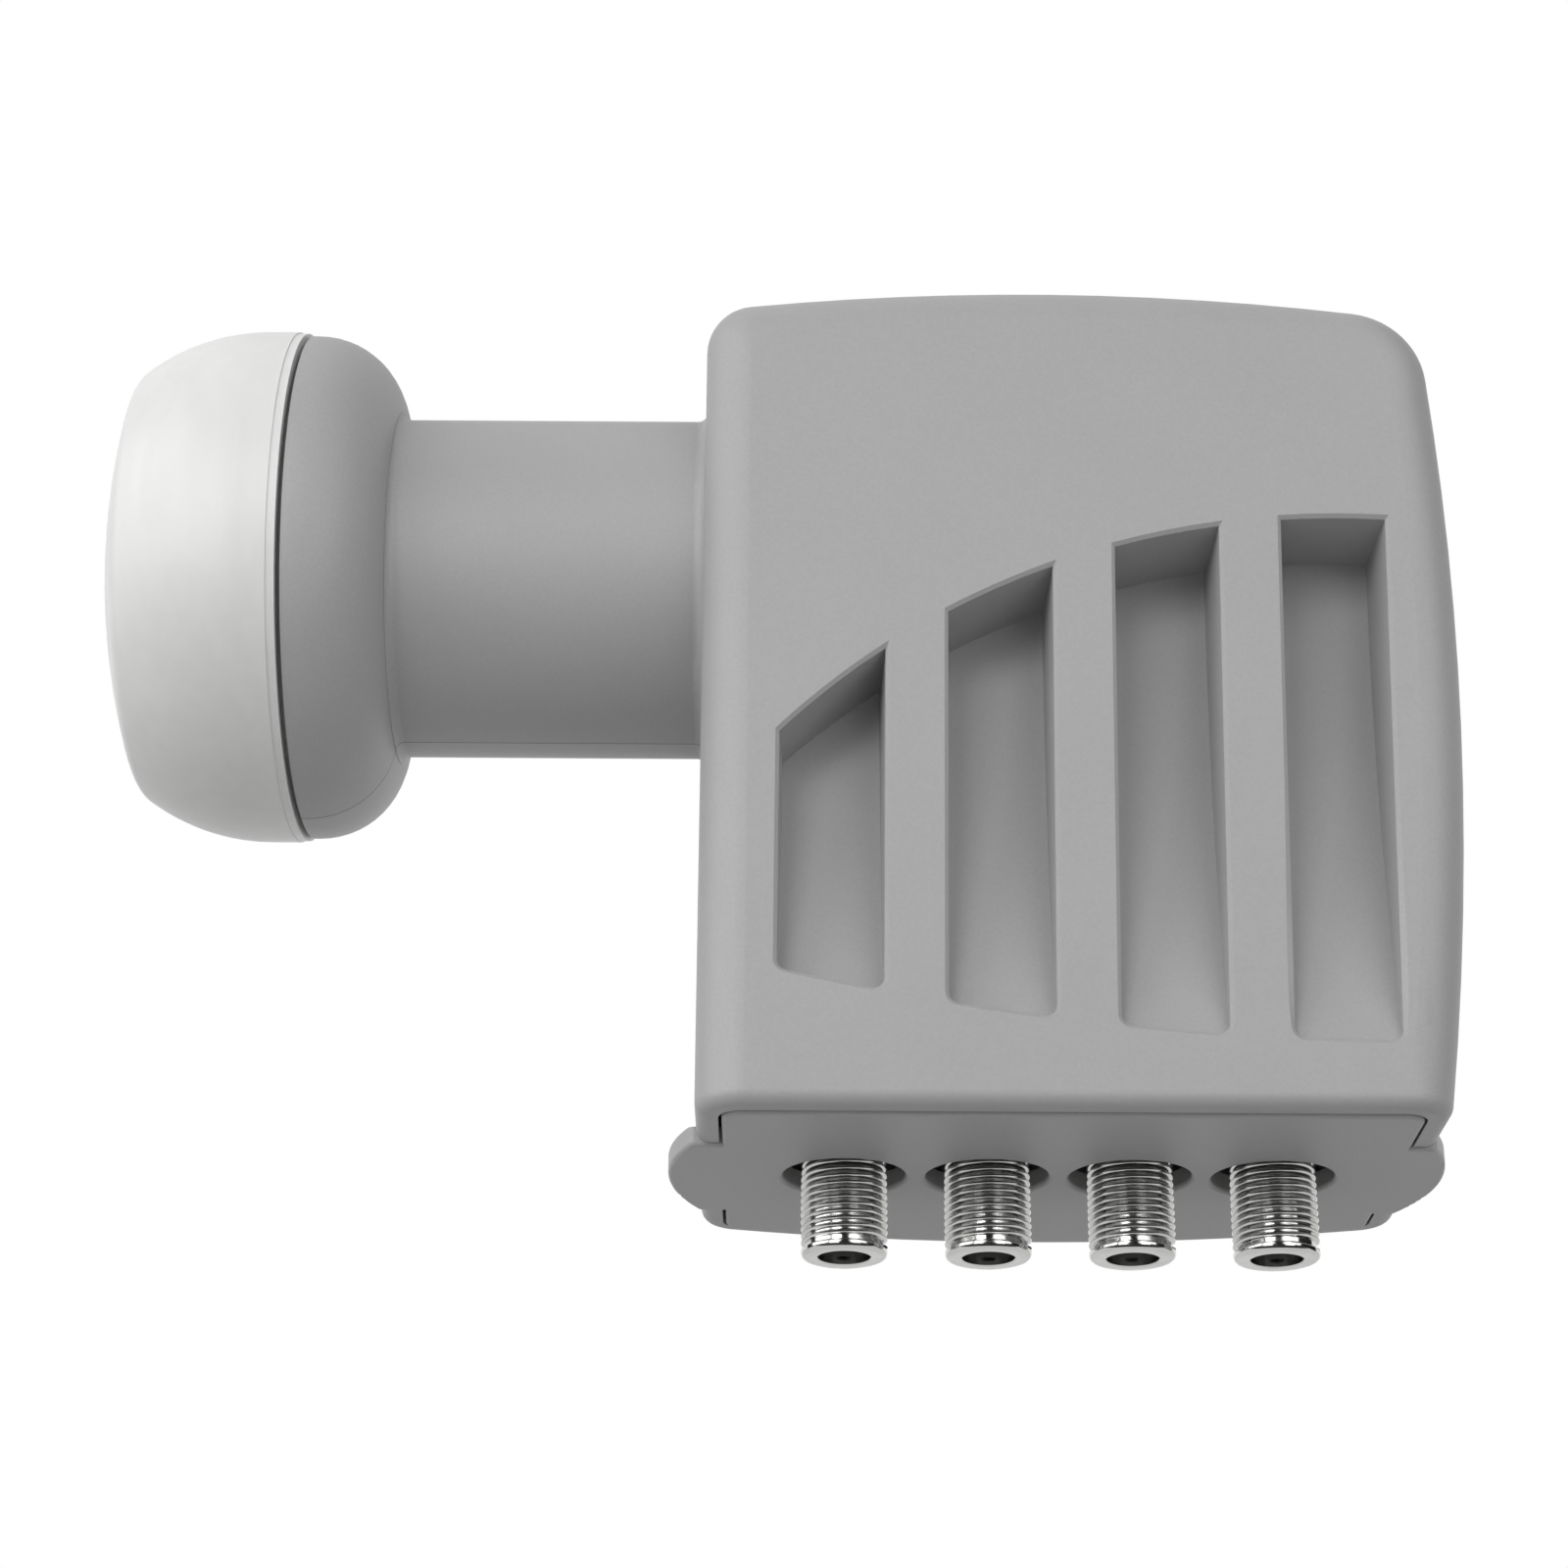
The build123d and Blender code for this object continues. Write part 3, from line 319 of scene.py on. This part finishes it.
class LnbThreadSettings(bpy.types.PropertyGroup):
    """Sizes of the 3/8-32 output threads and of the turned body that carries them"""

    pitch: length_setting("Pitch", "Thread pitch", 25.4 / 32)
    depth: length_setting("Depth", "Radial depth of the thread", 0.45)
    crest_round: length_setting("Crest round", "Height of the worn round of the crests", 0.05)
    major_radius: length_setting("Outside radius", "Outside radius of the thread", 4.7625)
    spigot_radius: length_setting("Spigot radius", "Radius of the spigot in the chassis", 4.0)
    step_height: length_setting("Step height", "Height of the spigot and of the flange", 2.0)
    bore_radius: length_setting("Bore radius", "Radius of the bore", 3.2)
    mouth_radius: length_setting("Mouth radius", "Radius of the rolled-in mouth", 2.88)
    lip: length_setting("Lip", "Length of the mouth", 1.6)
    nose: length_setting("Nose", "Round of the worn end", 0.55)
    end_ring: length_setting("End ring", "Plain length at the end, nose included", 0.85)
    segments: IntProperty(
        name="Segments", description="Steps round one turn", default=64, min=16, max=128
    )


class LnbFinishSettings(bpy.types.PropertyGroup):
    """Colours of the surfaces that show"""

    housing: colour_setting("Housing", "Grey of the shells", "#A4A4A4")
    cap: colour_setting("Horn cap", "White of the cap", "#DDDDDC")
    nickel: colour_setting("Nickel", "Plating of the outputs", "#CFCFCD")
    seam: length_setting("Seam", "Half width of the joint line of the shells", 0.12)


class LnbStageSettings(bpy.types.PropertyGroup):
    """Floor, light and camera"""

    floor_drop: length_setting("Floor drop", "Floor below the lowest output", 200)
    key_power: power_setting("Key light", "Power of the key light", 3.85)
    front_power: power_setting("Front light", "Power of the front light", 1.95)
    fill_power: power_setting("Fill light", "Power of the fill light", 2.55)
    low_power: power_setting("Low light", "Power of the light below", 0.05)
    rear_power: power_setting("Rear lights", "Power of each rear light", 1.7)
    ambient: FloatProperty(name="Ambient", description="Strength of the surrounding light", default=0.2)
    lens: FloatProperty(
        name="Lens", description="Focal length on a 36 mm frame", default=76.5, unit="CAMERA"
    )


class LNB_OT_housing(bpy.types.Operator):
    """Finish the grey shells and the weather cover"""

    bl_idname = "lnb.housing"
    bl_label = "Housing"

    def execute(self, context):
        finish = context.scene.lnb_finish
        colour = tuple(finish.housing)
        shells = spark_eroded_abs("spark_eroded_abs_shells", colour, finish.seam)
        cover = spark_eroded_abs("spark_eroded_abs_cover", colour, 0.0)
        dress("shell_front", shells)
        dress("shell_rear", shells)
        dress("weather_cover", cover)
        return {"FINISHED"}


class LNB_OT_cap(bpy.types.Operator):
    """Finish the horn cap and its seal"""

    bl_idname = "lnb.cap"
    bl_label = "Horn cap"

    def execute(self, context):
        finish = context.scene.lnb_finish
        dress("feed_cap", moulded_polypropylene("moulded_polypropylene_cap", tuple(finish.cap)))
        rubber = plain_solid("moulded_epdm_rubber", linear("#1B1B1B"), 0.7, 4.0, 0.5, 0.3)
        dress("cap_seal", rubber)
        dress("chassis_gasket", rubber)
        return {"FINISHED"}


def turned_body(shape, profile, axis_x, segments):
    """Spins a closed profile of radius and height about an upright axis into the bmesh."""
    verts = [shape.verts.new((axis_x + radius, 0, z)) for radius, z in profile]
    edges = [shape.edges.new((verts[i], verts[(i + 1) % len(verts)])) for i in range(len(verts))]
    bmesh.ops.spin(
        shape,
        geom=verts + edges,
        cent=(axis_x, 0, 0),
        axis=(0, 0, 1),
        angle=2 * math.pi,
        steps=segments,
        use_merge=True,
    )


def cut_thread(shape, sizes, axis_x, low_z, high_z):
    """Winds a row of thread teeth one pitch upwards in a turn, so that they join into one helix."""
    root = sizes.major_radius - sizes.depth
    flank = sizes.major_radius - sizes.depth * 0.4
    shoulder = sizes.major_radius - sizes.crest_round
    # Radius, and height above the crest's middle in pitches
    tooth = (
        (root, -0.44),
        (flank, -0.27),
        (shoulder, -0.14),
        (sizes.major_radius, 0),
        (shoulder, 0.14),
        (flank, 0.27),
        (root, 0.44),
    )
    turns = int((high_z - low_z) / sizes.pitch)
    chain = []
    for turn in range(turns):
        for radius, rise in tooth:
            chain.append(shape.verts.new((axis_x + radius, 0, low_z + (turn + rise) * sizes.pitch)))
    edges = [shape.edges.new(pair) for pair in zip(chain, chain[1:])]
    bmesh.ops.spin(
        shape,
        geom=chain + edges,
        cent=(axis_x, 0, 0),
        axis=(0, 0, 1),
        dvec=(0, 0, sizes.pitch / sizes.segments),
        angle=2 * math.pi,
        steps=sizes.segments,
        use_merge=False,
    )


def output_body(number, sizes, material):
    """One threaded output in place of its plain solid."""
    node_name = f"f_connector_{number}"
    low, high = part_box(node_name)
    axis_x = (low[0] + high[0]) / 2
    flange_radius = (high[0] - low[0]) / 2
    tip_z, top_z = low[2], high[2]
    spigot_z = top_z - sizes.step_height
    flange_z = spigot_z - sizes.step_height
    # The core stands a little proud of the teeth's roots, so that they run into it
    core = sizes.major_radius - sizes.depth * 0.97
    ring_z = tip_z + sizes.end_ring
    break_edge = sizes.nose / 4
    ring_radius = sizes.major_radius - sizes.crest_round / 2
    shape = bmesh.new()
    turned_body(
        shape,
        (
            (sizes.bore_radius, top_z),
            (sizes.spigot_radius, top_z),
            (sizes.spigot_radius, spigot_z),
            (flange_radius - break_edge, spigot_z),
            (flange_radius, spigot_z - break_edge),
            (flange_radius, flange_z + break_edge),
            (flange_radius - break_edge, flange_z),
            (core, flange_z),
            (core, ring_z + sizes.depth / 2),
            (ring_radius - break_edge / 2, ring_z),
            (ring_radius, ring_z - break_edge / 2),
            (ring_radius, tip_z + sizes.nose),
            (ring_radius - sizes.nose * 0.15, tip_z + sizes.nose * 0.5),
            (ring_radius - sizes.nose * 0.5, tip_z + sizes.nose * 0.15),
            (ring_radius - sizes.nose, tip_z),
            (sizes.mouth_radius + break_edge, tip_z),
            (sizes.mouth_radius, tip_z + break_edge),
            (sizes.mouth_radius, tip_z + sizes.lip),
            (sizes.bore_radius, tip_z + sizes.lip),
        ),
        axis_x,
        sizes.segments,
    )
    cut_thread(shape, sizes, axis_x, ring_z + sizes.pitch / 2, flange_z)
    bmesh.ops.remove_doubles(shape, verts=shape.verts, dist=MM / 10000)
    bmesh.ops.recalc_face_normals(shape, faces=shape.faces)
    mesh = bpy.data.meshes.new(f"output_thread_{number}")
    shape.to_mesh(mesh)
    shape.free()
    mesh.shade_smooth()
    mesh.set_sharp_from_angle(angle=SHARP_ANGLE)
    mesh.materials.append(material)
    piece = bpy.data.objects.new(f"output_thread_{number}", mesh)
    bpy.context.scene.collection.objects.link(piece)
    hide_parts(node_name)
    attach(piece, "housing")


class LNB_OT_outputs(bpy.types.Operator):
    """Cut the output threads and finish the insulators and contacts"""

    bl_idname = "lnb.outputs"
    bl_label = "Outputs"

    def execute(self, context):
        nickel = nickel_plated_brass("nickel_plated_brass", tuple(context.scene.lnb_finish.nickel))
        ptfe = plain_solid("skived_ptfe", linear("#DAD9D4"), 0.35, 3.0, 0.5, 0.15)
        # Painted shade: the insulators in the mouths are coloured near black, so that the bores look
        # dark with shade
        resin = plain_solid("moulded_dark_resin", linear("#2A2A2A"), 0.4, 3.0, 0.5, 0.15)
        bronze = plain_metal("phosphor_bronze_contact", linear("#C9A063"), 0.3, 1.0, 0.3, 0.2)
        for number in OUTPUTS:
            output_body(number, context.scene.lnb_thread, nickel)
            dress(f"connector_insulator_{number}", resin)
            dress(f"centre_contact_{number}", bronze)
        for name in ("probe_bush_1", "probe_bush_2"):
            dress(name, ptfe)
        for name in ("probe_vertical", "probe_horizontal", "tuning_screws"):
            dress(name, bronze)
        return {"FINISHED"}


class LNB_OT_inside(bpy.types.Operator):
    """Finish the casting, the board and what stands on it"""

    bl_idname = "lnb.inside"
    bl_label = "Inside"

    def execute(self, context):
        casting = plain_metal("die_cast_zinc_alloy", linear("#B4B5B7"), 0.45, 8.0, 0.6, 0.5)
        steel = plain_metal("zinc_plated_steel", linear("#C4C5C8"), 0.32, 1.5, 0.3, 0.2)
        tin = plain_metal("tinned_steel_sheet", linear("#CACAC6"), 0.28, 5.0, 0.8, 0.2)
        resin = plain_solid("epoxy_chip_resin", linear("#232323"), 0.5, 1.5, 0.2, 0.3)
        ceramic = plain_solid("fired_ceramic", linear("#B79E83"), 0.55, 2.0, 0.3, 0.3)
        laminate = solder_resist_laminate("solder_resist_laminate", linear("#1F5A37"), linear("#3C7A4E"))
        finishes = {
            "chassis": casting,
            "chassis_lid": casting,
            "lid_screws": steel,
            "shell_screws": steel,
            "amplifier_shield": tin,
            "circuit_board": laminate,
            "circuit_chip_1": resin,
            "circuit_chip_2": resin,
            "circuit_chip_3": resin,
            "oscillator_puck_1": ceramic,
            "oscillator_puck_2": ceramic,
        }
        for name, material in finishes.items():
            dress(name, material)
        return {"FINISHED"}


def seen_directly(tree):
    """1 for the rays of the camera and of mirrors and glass, and 0 for the rays that light."""
    path = add_node(tree, "ShaderNodeLightPath")
    straight = add_node(
        tree,
        "ShaderNodeMath",
        {0: path.outputs["Is Camera Ray"], 1: path.outputs["Is Glossy Ray"]},
        operation="MAXIMUM",
    )
    shown = add_node(
        tree,
        "ShaderNodeMath",
        {0: straight.outputs["Value"], 1: path.outputs["Is Transmission Ray"]},
        operation="MAXIMUM",
    )
    return shown.outputs["Value"]


def white_surround(tree, lighting_strength):
    """Background that looks white and lights softly."""
    soft = add_node(tree, "ShaderNodeBackground", {"Color": (1, 1, 1, 1), "Strength": lighting_strength})
    plain = add_node(tree, "ShaderNodeBackground", {"Color": (1, 1, 1, 1), "Strength": 1.0})
    surround = add_node(
        tree,
        "ShaderNodeMixShader",
        {0: seen_directly(tree), 1: soft.outputs["Background"], 2: plain.outputs["Background"]},
    )
    add_node(tree, "ShaderNodeOutputWorld", {"Surface": surround.outputs["Shader"]})


def matt_floor_paint(lit_colour, seen_colour, seen_share):
    """Matt white floor paint, which looks pale by its own glow and keeps the object's shadow.

    The colour that is lit sends less light up at the object than the colour that is seen would.
    """
    paint, tree, surface, place = start_material("matt_white_floor", 0.9)
    tree.links.new(mottle(tree, place, lit_colour, 300.0, 0.01), surface.inputs["Base Color"])
    glow = add_node(tree, "ShaderNodeEmission", {"Color": seen_colour, "Strength": 1.0})
    share = add_node(
        tree,
        "ShaderNodeMath",
        {0: seen_directly(tree), 1: seen_share},
        operation="MULTIPLY",
    )
    pale = add_node(
        tree,
        "ShaderNodeMixShader",
        {0: share.outputs["Value"], 1: surface.outputs["BSDF"], 2: glow.outputs["Emission"]},
    )
    output = next(node for node in tree.nodes if node.type == "OUTPUT_MATERIAL")
    tree.links.new(pale.outputs["Shader"], output.inputs["Surface"])
    return paint


def area_light(name, power, size, place, aim, mirrored):
    """Square area light that faces a point, and that gloss mirrors or not."""
    lamp = bpy.data.lights.new(name, "AREA")
    lamp.energy = power
    lamp.size = size
    holder = bpy.data.objects.new(name, lamp)
    holder.location = place
    holder.rotation_euler = (aim - place).to_track_quat("-Z", "Y").to_euler()
    holder.visible_glossy = mirrored
    bpy.context.scene.collection.objects.link(holder)


def mirror_card(name, material, place, width, height, tilt, turn):
    """Card outside the view, which only the bright metal and other gloss mirror."""
    shape = bmesh.new()
    facing = Matrix.Rotation(turn, 4, "Z") @ Matrix.Rotation(tilt, 4, "X")
    stand = Matrix.Translation(Vector(place)) @ facing @ Matrix.Diagonal((width, height, 1, 1))
    bmesh.ops.create_grid(shape, x_segments=1, y_segments=1, size=0.5, matrix=stand)
    mesh = bpy.data.meshes.new(name)
    shape.to_mesh(mesh)
    shape.free()
    mesh.materials.append(material)
    card = bpy.data.objects.new(name, mesh)
    card.visible_camera = False
    card.visible_diffuse = False
    card.visible_shadow = False
    bpy.context.scene.collection.objects.link(card)


def glowing_diffuser(name, strength):
    """Lit diffuser cloth of a strip light: even white that fades a little over its folds."""
    material, tree, surface, place = start_material(name, 0.9)
    tree.links.new(mottle(tree, place, linear("#FFFFFF"), 200.0, 0.03), surface.inputs["Emission Color"])
    surface.inputs["Emission Strength"].default_value = strength
    return material


def pale_floor(middle, height):
    """Square floor under the object, whose edges the photograph's camera doesn't see."""
    shape = bmesh.new()
    bmesh.ops.create_grid(shape, x_segments=1, y_segments=1, size=FLOOR_SIZE)
    bmesh.ops.translate(shape, verts=shape.verts, vec=(middle.x, middle.y, height))
    mesh = bpy.data.meshes.new("pale_floor")
    shape.to_mesh(mesh)
    shape.free()
    mesh.materials.append(matt_floor_paint(linear("#B8B8B8"), linear("#F4F4F4"), 0.75))
    floor = bpy.data.objects.new("pale_floor", mesh)
    bpy.context.scene.collection.objects.link(floor)


def photo_camera(lens):
    """Camera at the photograph's place: below the object, looking up at its front."""
    yaw, pitch, roll = (math.radians(angle) for angle in (CAMERA_YAW, CAMERA_PITCH, CAMERA_ROLL))
    level = math.cos(pitch)
    forward = Vector((math.sin(yaw) * level, math.cos(yaw) * level, math.sin(pitch)))
    level_right = forward.cross(Vector((0, 0, 1))).normalized()
    level_up = level_right.cross(forward)
    right = level_right * math.cos(roll) - level_up * math.sin(roll)
    up = level_up * math.cos(roll) + level_right * math.sin(roll)
    data = bpy.data.cameras.new("photo_camera")
    data.sensor_fit = "HORIZONTAL"
    data.sensor_width = SENSOR_WIDTH_MM
    data.lens = lens
    data.clip_start = 0.01
    camera = bpy.data.objects.new("photo_camera", data)
    turn = Matrix((right, up, -forward)).transposed()
    camera.matrix_world = Matrix.Translation(Vector(CAMERA_PLACE)) @ turn.to_4x4()
    bpy.context.scene.collection.objects.link(camera)
    bpy.context.scene.camera = camera


class LNB_OT_stage(bpy.types.Operator):
    """Floor, soft light and the photograph's camera"""

    bl_idname = "lnb.stage"
    bl_label = "Stage"

    def execute(self, context):
        stage = context.scene.lnb_stage
        low, high = cad_bounds
        middle = (Vector(low) + Vector(high)) / 2
        pale_floor(middle, low[2] - stage.floor_drop)

        world = bpy.data.worlds.new("white_surround")
        world.use_nodes = True
        world.node_tree.nodes.clear()
        white_surround(world.node_tree, stage.ambient)
        context.scene.world = world

        for name, power, size, place, mirrored in LIGHTS:
            area_light(name, getattr(stage, power), size, middle + Vector(place), middle, mirrored)

        flock = plain_solid("black_flocked_paper", linear("#1C1C1C"), 0.95, 60.0, 1.0, 0.2)
        for name, *settings in DARK_CARDS:
            mirror_card(name, flock, *settings)
        # Just above the floor, between the camera and the object
        low_place = (0.1, -0.55, low[2] - stage.floor_drop * 0.95)
        mirror_card("low_card", flock, low_place, 1.8, 0.9, FLAT, AHEAD)
        cloth = glowing_diffuser("lit_diffuser_cloth", 2.5)
        for name, *settings in LIT_CARDS:
            mirror_card(name, cloth, *settings)

        context.scene.view_settings.view_transform = "Standard"
        photo_camera(stage.lens)
        return {"FINISHED"}


STEPS = (LNB_OT_housing, LNB_OT_cap, LNB_OT_outputs, LNB_OT_inside, LNB_OT_stage)


class LNB_PT_panel(bpy.types.Panel):
    """Buttons for each group of pieces and the stage"""

    bl_idname = "LNB_PT_panel"
    bl_label = "Satellite LNB"
    bl_space_type = "VIEW_3D"
    bl_region_type = "UI"
    bl_category = "LNB"

    def draw(self, context):
        for step in STEPS:
            self.layout.operator(step.bl_idname)
        for group in (context.scene.lnb_thread, context.scene.lnb_finish, context.scene.lnb_stage):
            box = self.layout.box()
            for name in group.__annotations__:
                box.prop(group, name)


CLASSES = (LnbThreadSettings, LnbFinishSettings, LnbStageSettings, *STEPS, LNB_PT_panel)


def register():
    for cls in CLASSES:
        bpy.utils.register_class(cls)
    bpy.types.Scene.lnb_thread = PointerProperty(type=LnbThreadSettings)
    bpy.types.Scene.lnb_finish = PointerProperty(type=LnbFinishSettings)
    bpy.types.Scene.lnb_stage = PointerProperty(type=LnbStageSettings)


def unregister():
    del bpy.types.Scene.lnb_stage
    del bpy.types.Scene.lnb_finish
    del bpy.types.Scene.lnb_thread
    for cls in reversed(CLASSES):
        bpy.utils.unregister_class(cls)


def main():
    register()
    bpy.ops.lnb.housing()
    bpy.ops.lnb.cap()
    bpy.ops.lnb.outputs()
    bpy.ops.lnb.inside()
    bpy.ops.lnb.stage()


if __name__ == "__main__":
    main()
